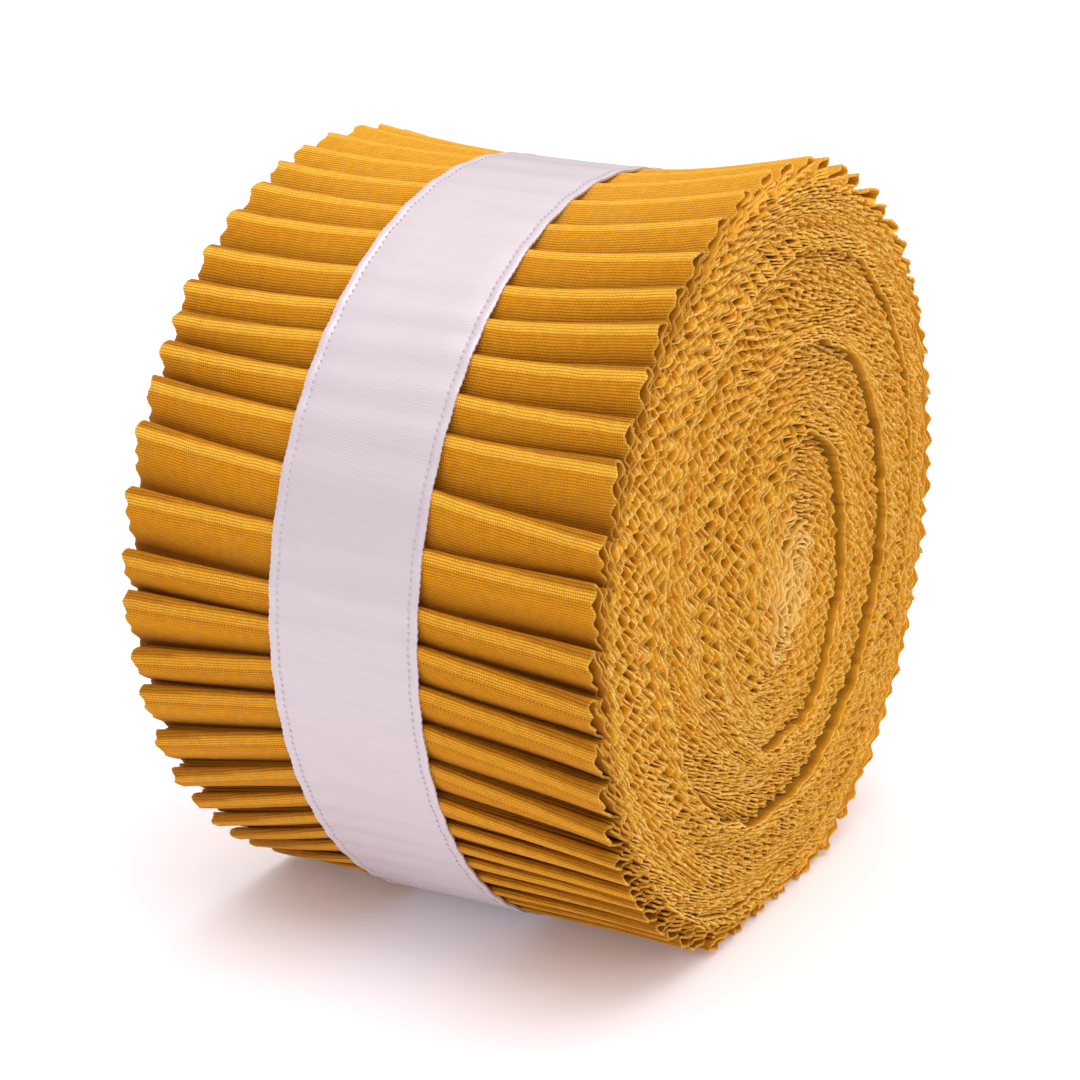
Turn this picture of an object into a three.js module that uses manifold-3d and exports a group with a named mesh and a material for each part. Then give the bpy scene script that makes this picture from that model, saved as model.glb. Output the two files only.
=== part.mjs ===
// A wound bundle of pinked cotton strips held by a satin ribbon band.
// Units are millimetres and +Z is up. The winding axis runs along X, and the origin is on the
// resting plane under the middle of the bundle. Angles run from the top, over the -Y side.

import * as THREE from 'three';
import { mergeVertices } from 'three/addons/utils/BufferGeometryUtils.js';
import Module from 'manifold-3d';

// Driving dimensions
const STRIP_WIDTH = 63.5;
const AXIS_HEIGHT = 47.6;
const FOLD_COUNT = 54;

// Ribbon band
const RIBBON_LEFT = -11.2;
const RIBBON_RIGHT = 8.9;
const RIBBON_THICKNESS = 1.0;
const RIBBON_CLEARANCE = 0.3;
const RIBBON_FLOOR_GAP = 0.3;
const RIBBON_LAP_START = 246;
const RIBBON_LAP = 26;
const RIBBON_RISE = 14;
const RIBBON_STEPS = 96;
const RIBBON_SIDE_ROOM = 0.6;

// Relief in the end faces, where one strip of the stack sits deeper than its neighbours
const GROOVE_DEPTH = 1.6;
const GROOVE_WIDTH = 1.3;
const GROOVE_START_ANGLE = 130;
const GROOVE_START_RADIUS = 46.4;
const GROOVE_PITCH = 11.8;
const GROOVE_TURNS = 2.9;
const GROOVE_POINTS_PER_TURN = 30;
const CUTTER_OVERSHOOT = 5;

// Cross sections along the axis: outer radius, shift of the section's centre, and how far a
// fold edge stands above the panel that tucks in under it
const SECTIONS = [
  { x: -31.75, radius: 50.4, shiftY: -0.5, shiftZ: -0.6, step: 2.4 },
  { x: -26.5, radius: 49.8, shiftY: -0.6, shiftZ: -1.0, step: 2.1 },
  { x: -20.5, radius: 49.3, shiftY: -0.7, shiftZ: -1.3, step: 1.8 },
  { x: -15.0, radius: 49.0, shiftY: -0.8, shiftZ: -1.5, step: 1.5 },
  { x: -11.8, radius: 48.9, shiftY: -0.8, shiftZ: -1.6, step: 1.3 },
  { x: -1.2, radius: 48.5, shiftY: -0.8, shiftZ: -1.6, step: 1.2 },
  { x: 9.5, radius: 48.3, shiftY: -0.8, shiftZ: -1.6, step: 1.3 },
  { x: 14.0, radius: 48.4, shiftY: -0.7, shiftZ: -1.4, step: 1.5 },
  { x: 20.0, radius: 48.7, shiftY: -0.5, shiftZ: -1.0, step: 1.8 },
  { x: 26.0, radius: 49.2, shiftY: -0.2, shiftZ: -0.5, step: 2.1 },
  { x: 31.75, radius: 49.8, shiftY: 0.0, shiftZ: 0.0, step: 2.4 },
];

// Fold edges on the visible side, in degrees from the top, at the left rim, at the ribbon and
// at the right rim
const NEAR_FOLDS = [
  { left: -3.1, middle: -7.0, right: -6.1 },
  { left: 4.5, middle: 0.0, right: 0.4 },
  { left: 11.7, middle: 8.0, right: 7.0 },
  { left: 17.7, middle: 15.0, right: 14.7 },
  { left: 23.7, middle: 22.2, right: 22.4 },
  { left: 30.7, middle: 28.7, right: 30.1 },
  { left: 37.8, middle: 36.0, right: 36.9 },
  { left: 43.9, middle: 42.2, right: 43.0 },
  { left: 49.5, middle: 47.7, right: 49.1 },
  { left: 54.2, middle: 53.9, right: 56.5 },
  { left: 59.0, middle: 59.6, right: 62.3 },
  { left: 66.0, middle: 67.2, right: 71.6 },
  { left: 75.1, middle: 75.5, right: 77.8 },
  { left: 83.4, middle: 83.3, right: 86.7 },
  { left: 89.6, middle: 88.8, right: 93.0 },
  { left: 98.1, middle: 94.9, right: 99.4 },
  { left: 104.4, middle: 100.6, right: 105.9 },
  { left: 112.8, middle: 107.0, right: 112.9 },
  { left: 120.8, middle: 113.2, right: 118.4 },
  { left: 127.4, middle: 118.6, right: 122.2 },
  { left: 133.8, middle: 123.2, right: 126.2 },
  { left: 139.8, middle: 127.4, right: 129.5 },
  { left: 146.2, middle: 132.0, right: 133.4 },
];

// Points on one pleat: share of the panel height past the fold edge, and share of the step
// by which the point lies below the fold's crest
const PLEAT_PROFILE = [
  { along: 0.0, below: 1.0 },
  { along: 0.07, below: 0.25 },
  { along: 0.24, below: 0.0 },
  { along: 0.62, below: 0.4 },
];

const wasm = await Module();
wasm.setup();

// Fold angles of one column. The hidden side repeats the panel heights of the visible side in
// reverse order, scaled to fill the rest of the turn.
function foldAngles(column) {
  const angles = NEAR_FOLDS.map((fold) => fold[column]);
  const heights = angles.slice(1).map((angle, i) => angle - angles[i]);
  const last = heights.length - 1;
  const hiddenCount = FOLD_COUNT - heights.length;
  const hidden = Array.from({ length: hiddenCount }, (_, i) => heights[last - (i % heights.length)]);
  const room = 360 - (angles[angles.length - 1] - angles[0]);
  const scale = room / hidden.reduce((sum, height) => sum + height, 0);
  for (const height of hidden.slice(0, -1)) {
    angles.push(angles[angles.length - 1] + height * scale);
  }
  return angles;
}

const FOLD_ANGLES = {
  left: foldAngles('left'),
  middle: foldAngles('middle'),
  right: foldAngles('right'),
};

// Angles of all folds at a place along the axis: straight under the ribbon, drifting to the
// angles of the nearer rim beyond it
function foldAnglesAt(x) {
  const toRight = x > RIBBON_RIGHT;
  const rim = toRight ? FOLD_ANGLES.right : FOLD_ANGLES.left;
  const edge = toRight ? RIBBON_RIGHT : RIBBON_LEFT;
  const beyond = toRight ? x - edge : edge - x;
  const reach = STRIP_WIDTH / 2 - Math.abs(edge);
  const share = Math.max(0, beyond) / reach;
  return FOLD_ANGLES.middle.map((angle, i) => THREE.MathUtils.lerp(angle, rim[i], share));
}

// A point at a radius and an angle round one section
function pointOn(section, radius, degrees) {
  const angle = THREE.MathUtils.degToRad(degrees);
  return new THREE.Vector3(
    section.x,
    section.shiftY - radius * Math.sin(angle),
    AXIS_HEIGHT + section.shiftZ + radius * Math.cos(angle),
  );
}

// The pleated outline of one section
function pleatedOutline(section) {
  const angles = foldAnglesAt(section.x);
  const points = [];
  angles.forEach((start, i) => {
    const end = i + 1 < angles.length ? angles[i + 1] : angles[0] + 360;
    for (const { along, below } of PLEAT_PROFILE) {
      points.push(pointOn(section, section.radius - below * section.step, start + along * (end - start)));
    }
  });
  return points;
}

// A closed mesh over rings of points, with each end closed by a fan
function skinRings(rings) {
  const count = rings[0].length;
  const lastRing = rings.length - 1;
  const vertices = rings.flat();
  const centre = (ring) => ring.reduce((sum, p) => sum.add(p), new THREE.Vector3()).divideScalar(count);
  const startCentre = vertices.push(centre(rings[0])) - 1;
  const endCentre = vertices.push(centre(rings[lastRing])) - 1;
  const triangles = [];
  for (let j = 0; j < lastRing; j += 1) {
    for (let i = 0; i < count; i += 1) {
      const next = (i + 1) % count;
      const a = j * count + i;
      const b = j * count + next;
      triangles.push(a, b, a + count, b, b + count, a + count);
    }
  }
  for (let i = 0; i < count; i += 1) {
    const next = (i + 1) % count;
    triangles.push(startCentre, next, i);
    triangles.push(endCentre, lastRing * count + i, lastRing * count + next);
  }
  const geometry = new THREE.BufferGeometry().setFromPoints(vertices);
  geometry.setIndex(triangles);
  return geometry;
}

function toManifold(geometry) {
  const bare = geometry.clone();
  bare.deleteAttribute('normal');
  bare.deleteAttribute('uv');
  const merged = mergeVertices(bare);
  return new wasm.Manifold(new wasm.Mesh({
    numProp: 3,
    vertProperties: new Float32Array(merged.attributes.position.array),
    triVerts: new Uint32Array(merged.index.array),
  }));
}

function toGeometry(solid) {
  const mesh = solid.getMesh();
  const geometry = new THREE.BufferGeometry();
  geometry.setAttribute('position', new THREE.BufferAttribute(mesh.vertProperties, 3));
  geometry.setIndex(new THREE.BufferAttribute(mesh.triVerts, 1));
  geometry.computeVertexNormals();
  return geometry;
}

// A block that cuts away what lies below a level, between two places along the axis
function cutBelow(level, fromX, toX) {
  const depth = 20;
  const width = 3 * AXIS_HEIGHT;
  const block = new THREE.BoxGeometry(toX - fromX, width, depth);
  block.translate((fromX + toX) / 2, 0, level - depth / 2);
  return toManifold(block);
}

// The spiral channel of one end face, as wide as the step that shows between two turns. It
// narrows to a point at both of its ends.
function grooveCutter(endX) {
  const count = Math.round(GROOVE_TURNS * GROOVE_POINTS_PER_TURN);
  const outer = [];
  const inner = [];
  for (let i = 0; i <= count; i += 1) {
    const turn = (GROOVE_TURNS * i) / count;
    const angle = THREE.MathUtils.degToRad(GROOVE_START_ANGLE + 360 * turn);
    const radius = GROOVE_START_RADIUS - GROOVE_PITCH * turn;
    const half = (GROOVE_WIDTH / 2) * Math.min(1, Math.sin((Math.PI * i) / count) * 4);
    outer.push(new THREE.Vector2(-(radius + half) * Math.sin(angle), (radius + half) * Math.cos(angle)));
    inner.push(new THREE.Vector2(-(radius - half) * Math.sin(angle), (radius - half) * Math.cos(angle)));
  }
  const outline = [...outer, ...inner.slice(1, -1).reverse()];
  const depth = GROOVE_DEPTH + CUTTER_OVERSHOOT;
  const channel = new THREE.ExtrudeGeometry(new THREE.Shape(outline), { depth, bevelEnabled: false });
  const yAxis = new THREE.Vector3(0, 1, 0);
  const zAxis = new THREE.Vector3(0, 0, 1);
  const xAxis = new THREE.Vector3(1, 0, 0);
  channel.applyMatrix4(new THREE.Matrix4().makeBasis(yAxis, zAxis, xAxis));
  const startX = endX > 0 ? endX - GROOVE_DEPTH : endX - CUTTER_OVERSHOOT;
  channel.translate(startX, 0, AXIS_HEIGHT);
  return toManifold(channel);
}

// The wound strips: a pleated drum with a drawn-in waist, flat where it rests, with a shallow
// bed under the ribbon and a spiral channel in each end face
function makeRoll() {
  const rimX = STRIP_WIDTH / 2;
  const drum = toManifold(skinRings(SECTIONS.map(pleatedOutline)));
  const bedLevel = RIBBON_FLOOR_GAP + RIBBON_THICKNESS + RIBBON_CLEARANCE + 0.05;
  const cuts = [
    cutBelow(0, -rimX - CUTTER_OVERSHOOT, rimX + CUTTER_OVERSHOOT),
    cutBelow(bedLevel, RIBBON_LEFT - RIBBON_SIDE_ROOM, RIBBON_RIGHT + RIBBON_SIDE_ROOM),
    grooveCutter(rimX),
    grooveCutter(-rimX),
  ];
  return toGeometry(cuts.reduce((solid, cut) => solid.subtract(cut), drum));
}

// The section of the drum under a place along the axis, between the two rows that bracket it
function sectionAt(x) {
  const upper = SECTIONS.findIndex((section) => section.x >= x);
  const from = SECTIONS[upper - 1];
  const to = SECTIONS[upper];
  const share = (x - from.x) / (to.x - from.x);
  const mix = (name) => THREE.MathUtils.lerp(from[name], to[name], share);
  return { x, radius: mix('radius'), shiftY: mix('shiftY'), shiftZ: mix('shiftZ') };
}

// The ribbon: one strip laid round the waist, its end lapped over its start on the hidden side
function makeRibbon() {
  const edges = [sectionAt(RIBBON_LEFT), sectionAt(RIBBON_RIGHT)];
  const span = 360 + RIBBON_LAP;
  const rings = [];
  for (let i = 0; i <= RIBBON_STEPS; i += 1) {
    const travel = (span * i) / RIBBON_STEPS;
    const rise = THREE.MathUtils.smoothstep(travel, 360 - RIBBON_RISE, 360);
    const lift = rise * (RIBBON_THICKNESS + RIBBON_CLEARANCE);
    const corner = (section, height) => {
      const point = pointOn(section, section.radius + RIBBON_CLEARANCE + lift + height, RIBBON_LAP_START + travel);
      point.z = Math.max(point.z, RIBBON_FLOOR_GAP + RIBBON_THICKNESS - height);
      return point;
    };
    rings.push([
      corner(edges[0], 0),
      corner(edges[1], 0),
      corner(edges[1], RIBBON_THICKNESS),
      corner(edges[0], RIBBON_THICKNESS),
    ]);
  }
  return toGeometry(toManifold(skinRings(rings)));
}

const cotton = new THREE.MeshStandardMaterial({ name: 'woven_cotton', color: 0xdc9420, roughness: 0.92, metalness: 0 });
const satin = new THREE.MeshStandardMaterial({ name: 'satin_ribbon', color: 0xefe8ee, roughness: 0.45, metalness: 0 });

const roll = new THREE.Mesh(makeRoll(), cotton);
roll.name = 'strip_roll';

const ribbon = new THREE.Mesh(makeRibbon(), satin);
ribbon.name = 'ribbon_band';

const bundle = new THREE.Group();
bundle.add(roll, ribbon);

export default bundle;
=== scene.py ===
"""Rolled bundle of pinked cotton strips, held at its waist by a satin ribbon band.

The bundle lies on its side. Its winding axis runs along X, it rests on the plane z = 0, and the
photograph shows its -Y side and its +X end face. Tables and dataclass fields are in millimetres,
and angles are degrees from the top of the bundle, counted over the -Y side. Meshes are in metres.
"""

import sys
import logging
import math
from collections.abc import Iterable, Mapping
from dataclasses import dataclass, field
from enum import Enum
from typing import Any

import bpy
import numpy as np
from mathutils import Matrix, Vector


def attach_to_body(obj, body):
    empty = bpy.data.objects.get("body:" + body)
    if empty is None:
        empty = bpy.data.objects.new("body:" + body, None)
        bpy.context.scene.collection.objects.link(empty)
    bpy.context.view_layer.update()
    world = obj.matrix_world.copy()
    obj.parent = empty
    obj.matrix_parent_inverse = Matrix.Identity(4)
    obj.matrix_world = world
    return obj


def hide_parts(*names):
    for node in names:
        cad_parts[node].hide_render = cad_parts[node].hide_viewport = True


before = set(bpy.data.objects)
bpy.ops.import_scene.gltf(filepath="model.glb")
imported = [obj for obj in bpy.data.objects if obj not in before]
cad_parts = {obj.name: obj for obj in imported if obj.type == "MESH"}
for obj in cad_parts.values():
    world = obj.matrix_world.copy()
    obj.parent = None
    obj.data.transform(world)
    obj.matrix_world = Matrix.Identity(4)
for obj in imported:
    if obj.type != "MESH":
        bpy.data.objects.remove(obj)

LOG = logging.getLogger("strip_bundle")
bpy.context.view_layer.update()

MM = 0.001
AXIS_HEIGHT = 47.6
STRIP_WIDTH = 63.5
FOLD_COUNT = 54
RIBBON_LEFT = -11.2
RIBBON_RIGHT = 8.9
CLOTH_THICKNESS = 0.3
RIBBON_THICKNESS = 0.32
TOOTH_PITCH = 2.65
BEATS = 6


@dataclass(frozen=True)
class Section:
    """Cross section of the bundle at one place along its axis.

    radius runs to the crests of the folds, shift_y and shift_z move the section's centre, and
    step is how far a fold stands above the panel that tucks in under it.
    """

    x: float
    radius: float
    shift_y: float
    shift_z: float
    step: float


SECTIONS = (
    Section(-31.75, 50.4, -0.5, -0.6, 2.4),
    Section(-26.5, 49.8, -0.6, -1.0, 2.1),
    Section(-20.5, 49.3, -0.7, -1.3, 1.8),
    Section(-15.0, 49.0, -0.8, -1.5, 1.5),
    Section(-11.8, 48.9, -0.8, -1.6, 1.3),
    Section(-1.2, 48.5, -0.8, -1.6, 1.2),
    Section(9.5, 48.3, -0.8, -1.6, 1.3),
    Section(14.0, 48.4, -0.7, -1.4, 1.5),
    Section(20.0, 48.7, -0.5, -1.0, 1.8),
    Section(26.0, 49.2, -0.2, -0.5, 2.1),
    Section(31.75, 49.8, 0.0, 0.0, 2.4),
)


@dataclass(frozen=True)
class FoldEdge:
    """Angles of one fold edge at the left rim, under the ribbon and at the right rim."""

    left: float
    middle: float
    right: float


NEAR_FOLDS = (
    FoldEdge(-3.1, -7.0, -6.1),
    FoldEdge(4.5, 0.0, 0.4),
    FoldEdge(11.7, 8.0, 7.0),
    FoldEdge(17.7, 15.0, 14.7),
    FoldEdge(23.7, 22.2, 22.4),
    FoldEdge(30.7, 28.7, 30.1),
    FoldEdge(37.8, 36.0, 36.9),
    FoldEdge(43.9, 42.2, 43.0),
    FoldEdge(49.5, 47.7, 49.1),
    FoldEdge(54.2, 53.9, 56.5),
    FoldEdge(59.0, 59.6, 62.3),
    FoldEdge(66.0, 67.2, 71.6),
    FoldEdge(75.1, 75.5, 77.8),
    FoldEdge(83.4, 83.3, 86.7),
    FoldEdge(89.6, 88.8, 93.0),
    FoldEdge(98.1, 94.9, 99.4),
    FoldEdge(104.4, 100.6, 105.9),
    FoldEdge(112.8, 107.0, 112.9),
    FoldEdge(120.8, 113.2, 118.4),
    FoldEdge(127.4, 118.6, 122.2),
    FoldEdge(133.8, 123.2, 126.2),
    FoldEdge(139.8, 127.4, 129.5),
    FoldEdge(146.2, 132.0, 133.4),
)

FAR_HEIGHTS = (4.3, 5.1, 5.5, 4.9, 5.5, 6.4, 6.7, 6.1, 6.0)


class Slot(Enum):
    """Material slots of the record."""

    COTTON = "cotton"
    RIBBON = "ribbon"


class Reach(Enum):
    """Half of the rim that a set of folded ends covers."""

    NEAR = "near"
    FAR = "far"


def linear_colour(hex_code: str) -> tuple[float, float, float, float]:
    """Turn an sRGB hex code into linear colour.

    Args:
        hex_code: Six hex digits after a number sign.

    Returns:
        Red, green, blue and an alpha of one.
    """
    parts = [int(hex_code[i:i + 2], 16) / 255 for i in (1, 3, 5)]
    red, green, blue = (c / 12.92 if c <= 0.04045 else ((c + 0.055) / 1.055) ** 2.4 for c in parts)
    return (red, green, blue, 1.0)


MATH = "ShaderNodeMath"
VECTOR = "ShaderNodeVectorMath"
MIX = "ShaderNodeMix"
RANGE = "ShaderNodeMapRange"
NOISE = "ShaderNodeTexNoise"
READ = "GeometryNodeInputNamedAttribute"
STORE = "GeometryNodeStoreNamedAttribute"
COLOURS = {"data_type": "RGBA", "output": 2}
SMOOTH = {"interpolation_type": "SMOOTHSTEP"}
FLAT = {"noise_dimensions": "2D"}


def add_node(tree: bpy.types.NodeTree, kind: str, *values: Any, output: int | str = 0,
             **settings: Any) -> bpy.types.NodeSocket:
    """Add one node with its settings and its links.

    Args:
        tree: Tree that gets the node.
        kind: Blender's name of the node type.
        values: Value or source socket of each input from the first on, or one mapping of them
            by name or place.
        output: Name or place of the output that is wanted.
        settings: Properties of the node.

    Returns:
        That output of the new node.
    """
    node = tree.nodes.new(kind)
    for name, value in settings.items():
        setattr(node, name, value)
    named = values[0] if values and isinstance(values[0], Mapping) else dict(enumerate(values))
    for key, value in named.items():
        if isinstance(value, bpy.types.NodeSocket):
            tree.links.new(value, node.inputs[key])
        else:
            node.inputs[key].default_value = value
    return node.outputs[output]


def new_material(name: str, values: Mapping[str, Any]) -> bpy.types.Material:
    """Start a material.

    Args:
        name: Name of the finish.
        values: What is the same all over the surface, by the shader's own sockets.

    Returns:
        The material, with its colour and bump still to come.
    """
    material = bpy.data.materials.new(name)
    material.use_nodes = True
    for key, value in values.items():
        material.node_tree.nodes["Principled BSDF"].inputs[key].default_value = value
    return material


def dress(material: bpy.types.Material, colour: bpy.types.NodeSocket,
          height: bpy.types.NodeSocket | None = None, strength: float = 1.0, depth: float = 0.0) -> None:
    """Give a material its colour and its bump.

    Args:
        material: Material to finish.
        colour: Its colour over the surface.
        height: Its height over the surface, if it has a bump.
        strength: Strength of the bump.
        depth: Depth of the bump in millimetres.
    """
    tree = material.node_tree
    shader = tree.nodes["Principled BSDF"]
    tree.links.new(colour, shader.inputs["Base Color"])
    if height is not None:
        bump = add_node(tree, "ShaderNodeBump",
                        {"Strength": strength, "Distance": depth * MM, "Height": height})
        tree.links.new(bump, shader.inputs["Normal"])


def round_rim(angle: np.ndarray, knots: tuple[tuple[float, float], ...]) -> np.ndarray:
    """Value at angles round the rim, from knots of an angle and a value each."""
    return np.interp(angle % 360, *zip(*knots))


class RollForm:
    """Waisted outer form of the bundle, flattened where it rests."""

    FLOOR_GAP = 0.25
    RIBBON_ROOM = 0.42
    SETTLED_FROM = 0.6
    SETTLED_POWER = 1.5
    SOFTNESS = 0.7

    def __init__(self) -> None:
        """Read the table of sections and the fold angles."""
        names = ("x", "radius", "shift_y", "shift_z", "step")
        self.columns = {name: np.array([getattr(s, name) for s in SECTIONS]) for name in names}
        self.folds = {name: self._fold_angles(name) for name in ("left", "middle", "right")}

    @staticmethod
    def _fold_angles(column: str) -> np.ndarray:
        """Angles of all fold edges in one column.

        The hidden side repeats the panel heights of the visible side in reverse order, scaled
        to fill the turn up to the far panels that show again next to the top.

        Args:
            column: Field of FoldEdge.

        Returns:
            Degrees, in rising order.
        """
        angles = [getattr(fold, column) for fold in NEAR_FOLDS]
        heights = np.diff(angles)
        count = FOLD_COUNT - len(heights)
        hidden = heights[::-1][np.arange(count - len(FAR_HEIGHTS)) % len(heights)]
        hidden = hidden * (360 - (angles[-1] - angles[0]) - sum(FAR_HEIGHTS)) / hidden.sum()
        hidden = np.concatenate([hidden, FAR_HEIGHTS])
        return np.concatenate([angles, angles[-1] + np.cumsum(hidden[:-1])])

    def at(self, name: str, x: np.ndarray) -> np.ndarray:
        """Value of one column of the sections at places along the axis."""
        return np.interp(x, self.columns["x"], self.columns[name])

    def fold_angle(self, number: int, x: np.ndarray) -> np.ndarray:
        """Angle of one fold edge along its length.

        Args:
            number: Number of the fold, which may run past a full turn.
            x: Places along the axis.

        Returns:
            Degrees at each place.
        """
        turn, index = divmod(number, FOLD_COUNT)
        left, middle, right = (self.folds[name][index] for name in ("left", "middle", "right"))
        knots = (-STRIP_WIDTH / 2, RIBBON_LEFT, RIBBON_RIGHT, STRIP_WIDTH / 2)
        return 360 * turn + np.interp(x, knots, (left, middle, middle, right))

    def floor_gap(self, x: np.ndarray) -> np.ndarray:
        """Room left below the cloth's middle surface, with more of it over the ribbon."""
        return self.FLOOR_GAP + self.RIBBON_ROOM * np.interp(
            x, (RIBBON_LEFT - 2, RIBBON_LEFT, RIBBON_RIGHT, RIBBON_RIGHT + 2), (0, 1, 1, 0))

    def place(self, x: np.ndarray, radius: np.ndarray, angle: np.ndarray) -> np.ndarray:
        """Points at a radius and an angle, settled onto the floor.

        Args:
            x: Places along the axis.
            radius: Distances from the section's centre.
            angle: Degrees from the top, over the -Y side.

        Returns:
            Points in metres, in a last axis of three.
        """
        turn = np.radians(angle)
        outer = self.at("radius", x)
        height = AXIS_HEIGHT + self.at("shift_z", x)
        share = np.clip((radius / outer - self.SETTLED_FROM) / (1 - self.SETTLED_FROM), 0, None)
        limit = radius - (outer - height + self.floor_gap(x)) * share ** self.SETTLED_POWER
        drop = -radius * np.cos(turn)
        drop = -self.SOFTNESS * np.logaddexp(-drop / self.SOFTNESS, -limit / self.SOFTNESS)
        y = self.at("shift_y", x) - radius * np.sin(turn)
        return np.stack(np.broadcast_arrays(x, y, height - drop), axis=-1) * MM


@dataclass
class MeshParts:
    """Points, faces and point attributes that make up one mesh."""

    points: list[np.ndarray] = field(default_factory=list)
    faces: list[np.ndarray] = field(default_factory=list)
    fields: dict[str, list[np.ndarray]] = field(default_factory=dict)
    count: int = 0

    def add(self, points: np.ndarray, faces: np.ndarray, **values: np.ndarray) -> None:
        """Append a shell.

        Args:
            points: Points in metres.
            faces: Quads, numbered from zero within the shell.
            values: Attribute values of each point.
        """
        self.points.append(points)
        self.faces.append(faces + self.count)
        self.count += len(points)
        for name, value in values.items():
            self.fields.setdefault(name, []).append(value)

    def build(self, name: str, material: bpy.types.Material) -> bpy.types.Object:
        """Make the object, with its UV map from the fields u and v.

        Args:
            name: Name of the piece.
            material: Finish of the piece.

        Returns:
            The object, linked to the scene.
        """
        mesh = bpy.data.meshes.new(name)
        points = np.concatenate(self.points)
        faces = np.concatenate(self.faces)
        mesh.from_pydata(points.tolist(), [], faces.tolist())
        values = {key: np.concatenate(parts) for key, parts in self.fields.items()}
        corners = np.zeros(len(mesh.loops), dtype=np.int32)
        mesh.loops.foreach_get("vertex_index", corners)
        layer = mesh.uv_layers.new(name="UVMap")
        layer.uv.foreach_set("vector", np.stack([values.pop("u"), values.pop("v")], axis=1)[corners].ravel())
        for key, value in values.items():
            mesh.attributes.new(key, "FLOAT", "POINT").data.foreach_set("value", value.astype(np.float32))
        mesh.polygons.foreach_set("use_smooth", np.ones(len(faces), dtype=bool))
        mesh.set_sharp_from_angle(angle=math.radians(55))
        mesh.materials.append(material)
        piece = bpy.data.objects.new(name, mesh)
        bpy.context.scene.collection.objects.link(piece)
        return piece


def cloth_shell(middle: np.ndarray, thickness: float) -> tuple[np.ndarray, np.ndarray]:
    """Closed shell round a sheet of cloth.

    Args:
        middle: Grid of points on the middle surface, in metres.
        thickness: Thickness of the cloth in millimetres.

    Returns:
        Points, the front sheet before the back one, and quads that face outwards.
    """
    rows, columns = middle.shape[:2]
    normal = np.cross(np.gradient(middle, axis=0), np.gradient(middle, axis=1))
    normal /= np.linalg.norm(normal, axis=2, keepdims=True)
    half = normal * thickness * MM / 2
    points = np.concatenate([(middle + half).reshape(-1, 3), (middle - half).reshape(-1, 3)])
    front = np.arange(rows * columns).reshape(rows, columns)
    back = front + rows * columns

    def quads(a: np.ndarray, b: np.ndarray, c: np.ndarray, d: np.ndarray) -> np.ndarray:
        """Stack four equal grids of corners into quads."""
        return np.stack([a, b, c, d], axis=-1).reshape(-1, 4)

    faces = [
        quads(front[:-1, :-1], front[1:, :-1], front[1:, 1:], front[:-1, 1:]),
        quads(back[:-1, :-1], back[:-1, 1:], back[1:, 1:], back[1:, :-1]),
        quads(front[:-1, 0], back[:-1, 0], back[1:, 0], front[1:, 0]),
        quads(front[:-1, -1], front[1:, -1], back[1:, -1], back[:-1, -1]),
        quads(front[0, :-1], front[0, 1:], back[0, 1:], back[0, :-1]),
        quads(front[-1, :-1], back[-1, :-1], back[-1, 1:], front[-1, 1:]),
    ]
    return points, np.concatenate(faces)


def pinked(distance: np.ndarray, pitch: float) -> np.ndarray:
    """Zigzag of pinking shears, rounded by handling.

    Args:
        distance: Distance along the cut.
        pitch: Distance from tooth to tooth.

    Returns:
        Values from minus one half, in the notches, to one half, at the tips.
    """
    return np.arcsin(0.75 * np.sin(2 * np.pi * distance / pitch)) / np.arcsin(0.75) / 2


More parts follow.
